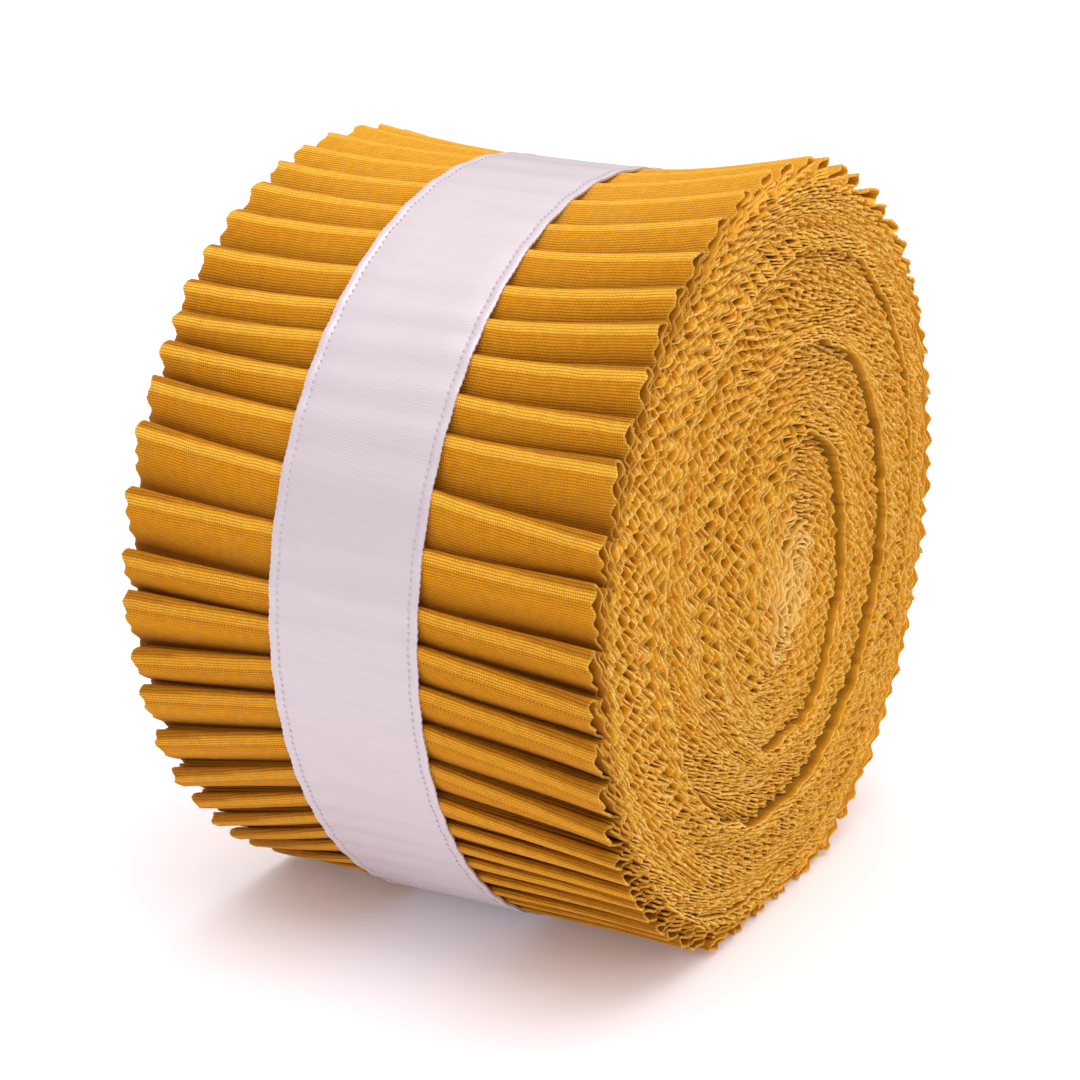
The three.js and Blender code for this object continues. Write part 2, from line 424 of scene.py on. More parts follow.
@dataclass
class FoldedEnds:
    """The folded outer ends of the strips, which overlap round the rim like shingles.

    Each end is a hairpin: an inner leaf comes up under its neighbours, turns at the crest, and
    comes back as the panel that shows, until it tucks in under the next crest.
    """

    form: RollForm
    material: bpy.types.Material
    near_tail: float = 0.85
    far_tail: float = 2.6
    descent: float = 0.84
    tuck: float = 0.15
    leaf_gap: float = 0.42
    hollow: float = 1.3
    belly: float = 0.8
    overhang: float = 1.0
    mouth: float = 0.5
    far_mouth: float = 0.35
    tooth_depth: float = 0.6
    far_tooth_pitch: float = 3.4
    inner_rows: int = 14
    bend_rows: int = 7
    panel_rows: int = 13
    tail_rows: int = 8
    under_leaves: int = 2
    seed: int = 7

    STATIONS = (
        -31.75, -30.6, -29.0, -26.5, -23.5, -20.0, -16.5, -13.5, -11.4, -9.0, -1.0,
        7.0, 9.1, 11.2, 14.5, 18.5, 22.5, 26.5, 29.0, 30.6, 31.75,
    )

    # How far the hairpins stand open: fully on the near side, and little on the far one
    FAR_FULLNESS = 0.35
    FULLNESS = (
        (0, 1), (150, 1), (195, 0.6), (215, FAR_FULLNESS), (290, FAR_FULLNESS), (315, 0.6), (340, 0.9),
        (360, 1),
    )
    # Which leaf stands out at the right rim: above zero the inner leaf, below it the panel
    SKEW = ((0, 0.1), (8, 0.4), (165, 0.4), (200, -0.5), (290, -0.5), (335, -0.75), (360, 0.1))
    # One over the top and on the far side, where the cloth gets painted light and less painted shade, and
    # zero below
    FARNESS = ((0, 1), (4, 1), (30, 0), (150, 0), (200, 1), (360, 1))

    @staticmethod
    def _lowness(angle: np.ndarray) -> np.ndarray:
        """One on the lower half of the bundle, where the panels hang open, and zero above."""
        return np.interp(np.abs((angle + 180) % 360 - 180), (68, 96), (0, 1))

    def _path(self, number: int, x: np.ndarray,
              spread: np.random.Generator) -> list[tuple[np.ndarray, np.ndarray]]:
        """Middle surfaces of one folded end and of the leaves that lie under it.

        Args:
            number: Number of the fold.
            x: Stations along the axis.
            spread: Source of the small differences between folds.

        Returns:
            For each sheet of cloth, the folded end first: share of the spacing past the crest, and
            depth below it in millimetres, in grids of path rows by stations.
        """
        radius = self.form.at("radius", x)
        start = self.form.fold_angle(number, x)
        fullness = round_rim(start, self.FULLNESS)
        step = self.form.at("step", x) * fullness * spread.uniform(0.92, 1.06)
        spacing = np.radians(self.form.fold_angle(number + 1, x) - start) * radius
        turn = np.minimum(step / 2 / spacing, 0.3)
        nearness = np.clip((float(fullness.mean()) - self.FAR_FULLNESS) / 0.3, 0, 1)
        run_on = self.far_tail + (self.near_tail - self.far_tail) * nearness
        end = 1 + run_on * spread.uniform(0.9, 1.1)
        opening = step * (self.mouth + self.far_mouth * np.clip(-round_rim(start, self.SKEW), 0, 1))

        def leaf_depth(share: np.ndarray) -> np.ndarray:
            """Depth of the inner leaf, which closes towards the next crest."""
            rise = np.clip((share - turn) / (1 - turn), 0, 1) ** 1.2
            depth = opening + (step - opening + self.tuck + self.leaf_gap) * rise
            return depth + self.descent * np.clip(share - 1, 0, None)

        inner = np.linspace(end, turn, self.inner_rows, endpoint=False)
        swing = np.radians(np.linspace(180, 0, self.bend_rows))[:, None]
        bend = turn * (1 - np.sin(swing))
        bend_depth = opening / 2 * (1 - np.cos(swing))

        panel = np.linspace(turn, np.ones_like(turn), self.panel_rows + 1)[1:]
        hollow = self.hollow + self.belly * self._lowness(start)
        panel_depth = (step + self.tuck) * ((panel - turn) / (1 - turn)) ** hollow
        tail = np.linspace(np.ones_like(turn), np.full_like(turn, end), self.tail_rows + 1)[1:]
        tail_depth = step + self.tuck + self.descent * (tail - 1)
        sheets = [(np.concatenate([inner, bend, panel, tail]),
                   np.concatenate([leaf_depth(inner), bend_depth, panel_depth, tail_depth]))]

        if nearness > 0.3:
            share = np.linspace(turn * 0.4, np.full_like(turn, 1.05), self.inner_rows)
            base = step + self.tuck + self.leaf_gap / 2 + self.descent * share
            for leaf in range(self.under_leaves):
                part = (leaf + 1) / (self.under_leaves + 1)
                sheets.append((share[::-1], (leaf_depth(share) * (1 - part) + base * part)[::-1]))
        return sheets

    def _end(self, number: int, spread: np.random.Generator, parts: MeshParts) -> float:
        """Add one folded end and the leaves under it.

        Args:
            number: Number of the fold.
            spread: Source of the small differences between folds.
            parts: Mesh that gets the shells.

        Returns:
            Length of cloth in the end, in millimetres.
        """
        x = np.array(self.STATIONS)
        sway = spread.uniform(-0.35, 0.35) * np.sin(x / 21 + spread.uniform(0, 6))
        ripple = spread.uniform(0.04, 0.14) * np.sin(x / spread.uniform(4, 9) + spread.uniform(0, 6))
        lift = spread.uniform(-0.1, 0.2)
        length = 0.0
        for share, depth in self._path(number, x, spread):
            shown = np.clip(share, 0, 1) * np.clip(1.6 - share, 0, 1)
            depth = depth - ripple * shown * 1.4 - lift
            length += self._sheet(number, share, sway, depth, spread, parts)
        return length

    def _sheet(self, number: int, share: np.ndarray, sway: np.ndarray, depth: np.ndarray,
               spread: np.random.Generator, parts: MeshParts) -> float:
        """Add one sheet of cloth of a folded end.

        Args:
            number: Number of the fold.
            share: Share of the spacing past the crest, in path rows by stations.
            sway: Degrees by which the whole end wanders at each station.
            depth: Depth below the crest.
            spread: Source of the small differences between sheets.
            parts: Mesh that gets the shell.

        Returns:
            Length of the sheet, in millimetres.
        """
        x = np.array(self.STATIONS)
        start = self.form.fold_angle(number, x)
        spacing = self.form.fold_angle(number + 1, x) - start
        angle = start + sway + share * spacing
        radius = self.form.at("radius", x) - depth
        flat = self.form.place(np.broadcast_to(x, radius.shape), radius, angle)
        steps = np.linalg.norm(np.diff(flat, axis=0), axis=2) / MM
        path = np.concatenate([np.zeros((1, len(x))), np.cumsum(steps, axis=0)])
        length = float(path[-1].mean())
        folded = len(path) > self.inner_rows
        path = path - path[self.inner_rows + self.bend_rows - 1] if folded else path - path[-1] - 2.0

        near_edge = np.clip(1 - (STRIP_WIDTH / 2 - np.abs(x)) / 1.6, 0, 1)
        teeth = self._teeth(path, start, angle, spread)
        across = x + self._slide(path, start, spread) + np.sign(x) * near_edge * self.tooth_depth * teeth
        middle = self.form.place(across, radius, angle)

        points, faces = cloth_shell(middle, CLOTH_THICKNESS)
        inset = np.broadcast_to(STRIP_WIDTH / 2 - np.abs(x), path.shape)
        low = self._lowness(angle)
        far = round_rim(start, self.FARNESS)
        # Painted shade that deepens towards the tuck, most on the lower panels
        tuck_shade = np.clip((share - 0.35) / 0.65, 0, 1) ** 1.4 * (0.6 + 0.4 * low)
        values = {
            "u": across * MM,
            "v": (path + 40 * number) * MM,
            "inset": inset * MM,
            # Strength of the painted highlight band along the crest, weaker on the lower folds
            "crest": 1 - 0.65 * low,
            # Painted light over the top and on the far side, stronger on the inner leaves than on the panels
            "painted_light": np.where(path > -0.5, 0.4, 0.6) * far,
            # Painted shade towards the tuck and on the inner leaves, less of it where painted light falls
            "painted_shade": np.where(path > -0.5, tuck_shade, 0.5) * (1 - 0.9 * far),
            "from_crest": path * MM,
            # The lower panels get the painted rows of dark dots below their crests
            "dot_row_mask": low,
            "weave": np.where(path > -1.2, 1 - 0.6 * low * np.clip((path - 1.6) / 0.8, 0, 1), 0.1),
        }
        parts.add(points, faces, **{k: np.tile(np.asarray(v).ravel(), 2) for k, v in values.items()})
        return length

    def _teeth(self, path: np.ndarray, start: np.ndarray, angle: np.ndarray,
               spread: np.random.Generator) -> np.ndarray:
        """Teeth of one sheet, which fall in line with their neighbours at the far right rim.

        Args:
            path: Distance from the crest along the cloth, in path rows by stations.
            start: Angle of the crest at each station.
            angle: Angle of each point.
            spread: Source of the small differences between sheets.

        Returns:
            Reach of the cut edge at each point, as a share of the tooth depth.
        """
        x = np.array(self.STATIONS)
        phase = spread.uniform(0, TOOTH_PITCH, 2)
        worn = path + 0.4 * np.sin(path / spread.uniform(1.3, 2.6) + spread.uniform(0, 6))
        teeth = np.where(x < 0, pinked(worn + phase[0], TOOTH_PITCH), pinked(worn + phase[1], TOOTH_PITCH))
        lined_up = np.clip(-round_rim(start, self.SKEW) * 2.5, 0, 1) * (x > 0)
        around = np.radians(angle) * self.form.at("radius", x)
        teeth = teeth * spread.uniform(0.8, 1.15) * (1 - lined_up)
        teeth = teeth + lined_up * 1.2 * pinked(around, self.far_tooth_pitch)
        return teeth + spread.normal(0, 0.09, path.shape)

    def _slide(self, path: np.ndarray, start: np.ndarray, spread: np.random.Generator) -> np.ndarray:
        """Shift of one sheet along the axis, by which one leaf of a hairpin stands out.

        Args:
            path: Distance from the crest along the cloth, in path rows by stations.
            start: Angle of the crest at each station.
            spread: Source of the small differences between sheets.

        Returns:
            Shift of each point in millimetres.
        """
        skew = round_rim(start, self.SKEW)
        fullness = round_rim(start, self.FULLNESS)
        inward = np.clip(-path / 4.5, 0, 1)
        slide = spread.uniform(-0.5, 0.0) * fullness + (1 - fullness) * 0.35 - 0.3 * np.minimum(skew, 0)
        slide = slide + skew * (self.overhang + spread.uniform(-0.4, 0.4)) * inward ** 1.3
        return slide - spread.uniform(0.0, 0.05) * np.clip(path, 0, 9)

    def build(self, reach: Reach) -> bpy.types.Object:
        """Args:
            reach: Which half of the rim.

        Returns:
            The finished piece.
        """
        half = FOLD_COUNT // 2
        numbers = range(half) if reach is Reach.NEAR else range(half, FOLD_COUNT)
        spread = np.random.default_rng(self.seed + numbers[0])
        parts = MeshParts()
        length = sum(self._end(number, spread, parts) for number in numbers)
        piece = parts.build(f"folded_ends_{reach.value}", self.material)
        attach(piece, "strip_roll")
        report(piece, f"{len(numbers)} folded ends, {length:.0f} mm of strip")
        return piece


def attach(piece: bpy.types.Object, node: str) -> None:
    """Ride a piece on the body, in place of a CAD node.

    Args:
        piece: The finished piece.
        node: CAD node that the piece stands for.
    """
    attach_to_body(piece, "root")
    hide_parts(node)


def report(piece: bpy.types.Object, words: str) -> None:
    """Log one finished piece.

    Args:
        piece: The piece.
        words: What it is made of.
    """
    triangles = sum(len(polygon.vertices) - 2 for polygon in piece.data.polygons)
    LOG.info("%s: %s, %d triangles", piece.name, words, triangles)


def new_tree(name: str, sizes: Iterable[str]) -> tuple[bpy.types.NodeTree, Any]:
    """Start a Geometry Nodes tree with named inputs.

    Args:
        name: Name of the tree.
        sizes: Names of its number inputs.

    Returns:
        The tree and the sockets of its inputs.
    """
    tree = bpy.data.node_groups.new(name, "GeometryNodeTree")
    tree.interface.new_socket(name="Geometry", in_out="INPUT", socket_type="NodeSocketGeometry")
    for size in sizes:
        tree.interface.new_socket(name=size, in_out="INPUT", socket_type="NodeSocketFloat")
    tree.interface.new_socket(name="Geometry", in_out="OUTPUT", socket_type="NodeSocketGeometry")
    return tree, tree.nodes.new("NodeGroupInput").outputs


def close_tree(tree: bpy.types.NodeTree, geometry: bpy.types.NodeSocket,
               material: bpy.types.Material) -> None:
    """End a Geometry Nodes tree with real meshes in one material.

    Args:
        tree: Tree to end.
        geometry: What it has made.
        material: Finish of the result.
    """
    real = add_node(tree, "GeometryNodeRealizeInstances", {"Geometry": geometry})
    dressed = add_node(tree, "GeometryNodeSetMaterial", {"Geometry": real, "Material": material})
    tree.links.new(dressed, tree.nodes.new("NodeGroupOutput").inputs[0])


def grow(piece: bpy.types.Object, tree: bpy.types.NodeTree, sizes: Mapping[str, float]) -> None:
    """Run a Geometry Nodes tree on an object and keep its result as a plain mesh.

    Args:
        piece: Object that holds the paths.
        tree: Tree to run.
        sizes: Value of each named input.
    """
    modifier = piece.modifiers.new(tree.name, "NODES")
    modifier.node_group = tree
    for item in tree.interface.items_tree:
        if item.in_out == "INPUT" and item.name in sizes:
            modifier[item.identifier] = float(sizes[item.name])
    evaluated = piece.evaluated_get(bpy.context.evaluated_depsgraph_get())
    mesh = bpy.data.meshes.new_from_object(evaluated)
    paths = piece.data
    piece.modifiers.clear()
    piece.data = mesh
    bpy.data.meshes.remove(paths)
    mesh.name = piece.name


def path_object(name: str, paths: Iterable[np.ndarray],
                values: Mapping[str, list[np.ndarray]]) -> bpy.types.Object:
    """Object of open paths with point attributes.

    Args:
        name: Name of the object.
        paths: Points of each path, in metres.
        values: Values of each attribute, one array for each path.

    Returns:
        The object, linked to the scene.
    """
    paths = list(paths)
    edges, first = [], 0
    for path in paths:
        index = np.arange(first, first + len(path) - 1)
        edges.append(np.stack([index, index + 1], axis=1))
        first += len(path)
    mesh = bpy.data.meshes.new(name)
    mesh.from_pydata(np.concatenate(paths).tolist(), np.concatenate(edges).tolist(), [])
    for key, parts in values.items():
        value = np.concatenate(parts).astype(np.float32)
        kind, slot = ("FLOAT", "value") if value.ndim == 1 else ("FLOAT_VECTOR", "vector")
        mesh.attributes.new(key, kind, "POINT").data.foreach_set(slot, value.ravel())
    piece = bpy.data.objects.new(name, mesh)
    bpy.context.scene.collection.objects.link(piece)
    return piece


@dataclass
class WoundStrips:
    """The strips inside the rim, wound side by side as one stack.

    Each strip keeps its own phase of pinking and its own small shift along the axis. The first
    strip of the stack has a straight woven edge and stands proud of the last, which leaves the
    spiral step in the end face.
    """

    form: RollForm
    material: bpy.types.Material
    groups: tuple[int, ...] = (5, 3, 6, 4, 2, 5, 3)
    stack_pitch: float = 11.8
    start_angle: float = 130.0
    start_radius: float = 46.4
    outer_radius: float = 46.85
    waist: float = 1.6
    inner_radius: float = 5.8
    thickness: float = 0.22
    tooth_depth: float = 0.9
    aligned_angle: float = 450.0
    phase_spread: float = 0.13
    curl: float = 0.4
    step_height: float = 1.5
    group_shift: float = 0.3
    strip_shift: float = 0.2
    core_radius: float = 30.0
    core_shift: tuple[float, float] = (1.4, -6.4)
    core_squeeze: float = 0.42
    core_stretch: float = 0.45
    core_lean: float = 26.0
    core_loops: int = 11
    loop_width: tuple[float, float] = (0.25, 0.38)
    loop_height: tuple[float, float] = (1.2, 0.8)
    loop_lean: float = 25.0
    tooth_share: float = 0.55
    edge_roundness: float = 0.55
    fray: float = 0.4
    swell: float = 1.2
    seed: int = 21

    @property
    def strips(self) -> int:
        """Number of strips in the stack."""
        return sum(self.groups)

    def _radius(self, place: float, angle: np.ndarray) -> np.ndarray:
        """Nominal radius at a place in the stack, at angles that run on past a full turn."""
        outward = place / self.strips * self.stack_pitch
        return self.start_radius + outward - self.stack_pitch * (angle - self.start_angle) / 360

    def _beats(self, place: float, phase: float) -> tuple[np.ndarray, np.ndarray]:
        """Angles one beat apart along one strip, with six beats to a tooth.

        Teeth of neighbouring strips meet at the aligned angle, and drift by a tooth in a turn,
        because that is how much longer the outer one's turn is.

        Args:
            place: Place in the stack.
            phase: Shift of the teeth at the aligned angle, as a share of the pitch.

        Returns:
            Degrees, and which beat of its tooth each one is.
        """
        fine = 0.25
        angle = np.arange(self.start_angle, self.start_angle + 5 * 360, fine)
        radius = np.clip(self._radius(place, angle), 1, None)
        arc = np.cumsum(np.radians(fine) * radius)
        arc = arc - np.interp(self.aligned_angle, angle, arc) - phase * TOOTH_PITCH
        beat = TOOTH_PITCH / BEATS
        count = np.arange(math.ceil(arc[0] / beat), math.floor(arc[-1] / beat))
        angles = np.interp(count * beat, arc, angle)
        radii = self._radius(place, angles)
        kept = (radii < self.outer_radius) & (radii > self.inner_radius)
        return angles[kept], count[kept] % BEATS

    def _place(self, x: float, radius: np.ndarray, angle: np.ndarray) -> np.ndarray:
        """Points of a path, moved off centre and crumpled towards the core.

        Args:
            x: Place along the axis.
            radius: Nominal radii.
            angle: Degrees.

        Returns:
            Points in metres.
        """
        points = self.form.place(np.full_like(radius, x), radius, angle) / MM
        inward = np.clip(1 - radius / self.core_radius, 0, 1)
        points[:, 1] *= 1 - self.core_squeeze * inward ** 1.3
        lean = np.radians(self.core_lean) * inward ** 1.2
        y = points[:, 1].copy()
        z = (points[:, 2] - AXIS_HEIGHT) * (1 + self.core_stretch * inward ** 1.3)
        points[:, 1] = y * np.cos(lean) + z * np.sin(lean) + self.core_shift[0] * inward ** 1.4
        points[:, 2] = z * np.cos(lean) - y * np.sin(lean) + self.core_shift[1] * inward ** 1.4 + AXIS_HEIGHT
        loose = np.clip((self.outer_radius - radius) / 12, 0, 1) * (0.28 + 0.5 * inward ** 2)
        y, z = points[:, 1].copy(), points[:, 2].copy()
        points[:, 1] += loose * (np.sin(z / 3.1 + 0.4) + 0.6 * np.sin(z / 1.7 + y / 4.3))
        points[:, 2] += loose * (np.sin(y / 2.7 + 1.3) + 0.6 * np.sin(y / 1.9 - z / 5.1))
        return points * MM

    def _tree(self) -> bpy.types.NodeTree:
        """Geometry Nodes that sweep a strip of cloth along each path and pink its edges."""
        sizes = ("Tooth Depth", "Strip Width", "Cloth Thickness", "Fray", "Seed")
        tree, size = new_tree("pinked_strips", sizes)
        curve = add_node(tree, "GeometryNodeMeshToCurve", {"Mesh": size["Geometry"]})
        curve = add_node(tree, "GeometryNodeSetCurveNormal",
                         {"Curve": curve, "Normal": (1.0, 0.0, 0.0)}, mode="FREE")
        length = add_node(tree, "GeometryNodeSplineParameter", output="Length")
        path = add_node(tree, STORE, {"Geometry": curve, "Name": "arc", "Value": length})

        outline = add_node(tree, "GeometryNodeCurvePrimitiveQuadrilateral",
                           {"Width": size["Strip Width"], "Height": size["Cloth Thickness"]})
        outline = add_node(tree, "GeometryNodeSubdivideCurve", {"Curve": outline})
        here = add_node(tree, "GeometryNodeInputPosition")
        place = add_node(tree, "ShaderNodeSeparateXYZ", here).node.outputs
        outline = add_node(tree, STORE, {"Geometry": outline, "Name": "across", "Value": place["X"]})
        outline = add_node(tree, STORE, {"Geometry": outline, "Name": "through", "Value": place["Y"]})
        swept = add_node(tree, "GeometryNodeCurveToMesh",
                         {"Curve": path, "Profile Curve": outline, "Fill Caps": True})

        arc, across, through, beat, toothed, shift = (
            add_node(tree, READ, {"Name": name}, data_type="FLOAT", output="Attribute")
            for name in ("arc", "across", "through", "beat", "toothed", "shift"))
        to_middle, to_left, outward = (
            add_node(tree, READ, {"Name": name}, data_type="FLOAT_VECTOR", output="Attribute")
            for name in ("to_middle", "to_left", "curl"))

        # The side runs from minus one at the left edge to one at the right edge
        half = add_node(tree, MATH, size["Strip Width"], 2.0, operation="DIVIDE")
        side = add_node(tree, MATH, across, half, operation="DIVIDE")
        edge = add_node(tree, MATH, side, operation="ABSOLUTE")
        centre = add_node(tree, MATH, 1.0, edge, operation="SUBTRACT")
        left = add_node(tree, MATH, side, -1.0, operation="MULTIPLY")
        left = add_node(tree, MATH, left, 0.0, operation="MAXIMUM")

        # Teeth reach out and in along the axis, with the cloth's edge rounded across its thickness
        tooth = add_node(tree, MATH, beat, 2 * math.pi / BEATS, operation="MULTIPLY")
        tooth = add_node(tree, MATH, tooth, operation="SINE")
        tooth = add_node(tree, MATH, tooth, self.tooth_share, operation="MULTIPLY")
        tooth = add_node(tree, MATH, tooth, toothed, operation="MULTIPLY")
        curl = add_node(tree, MATH, tooth, edge, operation="MULTIPLY")
        tooth = add_node(tree, MATH, tooth, size["Tooth Depth"], operation="MULTIPLY")
        filled = add_node(tree, MATH, through, operation="ABSOLUTE")
        bulge = add_node(tree, MATH, size["Cloth Thickness"], 2.0, operation="DIVIDE")
        bulge = add_node(tree, MATH, bulge, filled, operation="SUBTRACT")
        bulge = add_node(tree, MATH, bulge, self.edge_roundness, operation="MULTIPLY")
        reach = add_node(tree, MATH, tooth, bulge, operation="ADD")
        reach = add_node(tree, MATH, reach, side, operation="MULTIPLY")
        reach = add_node(tree, MATH, reach, shift, operation="ADD")

        # Fray is a fine noise at the edges, and the swell a wide one that lifts whole stretches
        fray = add_node(tree, NOISE, {
            "Vector": here, "Scale": 560.0, "Detail": 3.0, "Roughness": 0.6, "W": size["Seed"],
        }, noise_dimensions="4D", output="Color")
        fray = add_node(tree, VECTOR, fray, (0.5, 0.5, 0.5), operation="SUBTRACT")
        loose = add_node(tree, MATH, edge, 4.0, operation="MULTIPLY")
        loose = add_node(tree, MATH, size["Fray"], loose, operation="MULTIPLY")
        swell = add_node(tree, NOISE, {"Vector": here, "Scale": 75.0, "Detail": 1.0, "W": size["Seed"]},
                         noise_dimensions="4D")
        swell = add_node(tree, MATH, swell, 0.5, operation="SUBTRACT")
        swell = add_node(tree, MATH, swell, self.swell * MM, operation="MULTIPLY")
        reach = add_node(tree, MATH, reach, swell, operation="ADD")

        move = add_node(tree, "ShaderNodeCombineXYZ", reach)
        for direction, share in ((fray, loose), (to_middle, centre), (to_left, left), (outward, curl)):
            part = add_node(tree, VECTOR, {0: direction, "Scale": share}, operation="SCALE")
            move = add_node(tree, VECTOR, move, part, operation="ADD")
        cloth = add_node(tree, "GeometryNodeSetPosition", {"Geometry": swept, "Offset": move})

        inset = add_node(tree, MATH, centre, half, operation="MULTIPLY")
        cloth = add_node(tree, STORE, {"Geometry": cloth, "Name": "inset", "Value": inset})
        wound = add_node(tree, "ShaderNodeValue")
        wound.default_value = 1.0
        cloth = add_node(tree, STORE, {"Geometry": cloth, "Name": "wound", "Value": wound})
        flat = add_node(tree, "ShaderNodeCombineXYZ", across, arc)
        cloth = add_node(tree, STORE, {"Geometry": cloth, "Name": "UVMap", "Value": flat},
                         data_type="FLOAT2", domain="CORNER")
        close_tree(tree, cloth, self.material)
        return tree

    def build(self) -> list[bpy.types.Object]:
        """Returns:
            The finished pieces.
        """
        spread = np.random.default_rng(self.seed)
        tree = self._tree()
        paths: list[tuple[np.ndarray, dict[str, np.ndarray]]] = []
        strip = 0
        phase = 0.0
        for size in self.groups:
            lead = spread.uniform(-self.group_shift, self.group_shift)
            phase += spread.uniform(0.25, 0.6)
            for _ in range(size):
                shift = lead + spread.uniform(-self.strip_shift, self.strip_shift)
                phase += spread.normal(0, self.phase_spread)
                paths.append(self._strip(strip, phase, shift, spread))
                strip += 1
        paths += [self._core_loop(number, spread) for number in range(self.core_loops)]

        pieces = []
        for place, letter in enumerate("abcd"):
            chosen = paths[place::4]
            values: dict[str, list[np.ndarray]] = {}
            for _, fields in chosen:
                for key, value in fields.items():
                    values.setdefault(key, []).append(value)
            lines = [path for path, _ in chosen]
            length = sum(float(np.linalg.norm(np.diff(line, axis=0), axis=1).sum()) for line in lines)
            piece = path_object(f"wound_strips_{letter}", lines, values)
            grow(piece, tree, {
                "Tooth Depth": self.tooth_depth * MM,
                "Strip Width": STRIP_WIDTH * MM,
                "Cloth Thickness": self.thickness * MM,
                "Fray": self.fray * MM,
                "Seed": self.seed,
            })
            piece.data.set_sharp_from_angle(angle=math.radians(65))
            attach(piece, "strip_roll")
            report(piece, f"{len(lines)} wound strips, {length:.2f} m long in all")
            pieces.append(piece)
        return pieces

    @staticmethod
    def _outward(path: np.ndarray) -> np.ndarray:
        """Unit vectors square to a path, in the plane across the axis."""
        along = np.gradient(path, axis=0)
        outward = np.stack([np.zeros(len(path)), along[:, 2], -along[:, 1]], axis=1)
        return outward / np.linalg.norm(outward, axis=1, keepdims=True)

    def _strip(self, strip: int, phase: float, shift: float,
               spread: np.random.Generator) -> tuple[np.ndarray, dict[str, np.ndarray]]:
        """Path of one strip and what its cloth does along it.

        Args:
            strip: Place in the stack.
            phase: Shift of its teeth, as a share of the pitch.
            shift: Shift of the strip along the axis.
            spread: Source of the differences between strips.

        Returns:
            Points in metres, and the values at each point.
        """
        angle, beat = self._beats(strip + 0.5, phase)
        radius = self._radius(strip + 0.5, angle)
        path = self._place(STRIP_WIDTH / 2, radius, angle)
        outward = (strip + 0.5) / self.strips
        rim = np.clip((self.outer_radius - radius) / 12, 0, 1)
        proud = self.step_height * (1 - outward) ** 2.0 * rim * np.clip((radius - 11) / 6, 0, 1)
        drift = 0.16 * np.sin(angle / spread.uniform(30, 70) + spread.uniform(0, 6))
        curl = self.curl * np.tanh(2 * np.sin(angle / 23 + 0.3 * strip + spread.uniform(-0.8, 0.8)))
        drawn_in = self.waist * np.clip(radius / 7 - 5.7, 0, 1)
        path[:, 0] = 0
        fields = {
            "beat": beat,
            "shift": (proud + shift + drift) * MM,
            "toothed": np.clip(spread.normal(1, 0.2, len(angle)), 0.3, 1.7) * (strip > 0),
            "core": np.clip(1.3 - radius / 8, 0, 1),
            # Painted shade on the first strip, which stands proud as the step wall of the end face
            "painted_shade": np.full(len(angle), 0.3 if strip == 0 else 0.0),
            "curl": self._outward(path) * (curl * MM)[:, None],
            "to_middle": self._place(0.0, radius - drawn_in, angle) - path,
            "to_left": self._place(-STRIP_WIDTH / 2, radius, angle) - path,
        }
        for key in ("to_middle", "to_left"):
            fields[key][:, 0] = 0
        return path, fields

    def _core_loop(self, number: int,
                   spread: np.random.Generator) -> tuple[np.ndarray, dict[str, np.ndarray]]:
        """Path of one crumpled loop in the core.

        Args:
            number: Number of the loop, from the middle outwards.
            spread: Source of the differences between loops.

        Returns:
            Points in metres, and the values at each point.
        """
        wide, tall = (first + growth * number for first, growth in (self.loop_width, self.loop_height))
        count = max(14, round(2 * math.pi * (wide + tall) / 2 / (TOOTH_PITCH / BEATS)))
        turn = np.linspace(0, 1.93 * math.pi, count) + spread.uniform(0, 6)
        crumple = 0.2 * np.sin(6 * turn + spread.uniform(0, 6)) + 0.16 * np.sin(11 * turn + number)
        lean = math.radians(self.loop_lean)
        across, up = (wide + crumple) * np.cos(turn), (tall + crumple) * np.sin(turn)
        shifted = (1 - self.inner_radius / self.core_radius) ** 1.4
        y = across * math.cos(lean) + up * math.sin(lean) + self.core_shift[0] * shifted
        z = up * math.cos(lean) - across * math.sin(lean) + self.core_shift[1] * shifted + AXIS_HEIGHT
        path = np.stack([np.zeros(count), y, z], axis=1) * MM
        flat = np.zeros((count, 3))
        fields = {
            "beat": np.arange(count) % BEATS,
            "shift": np.full(count, spread.uniform(0.2, 0.9) * MM),
            "toothed": np.full(count, 0.8),
            "core": np.ones(count),
            "painted_shade": np.zeros(count),
            "curl": self._outward(path) * spread.uniform(-0.9, 0.9) * MM,
            "to_middle": flat,
            "to_left": flat,
        }
        return path, fields


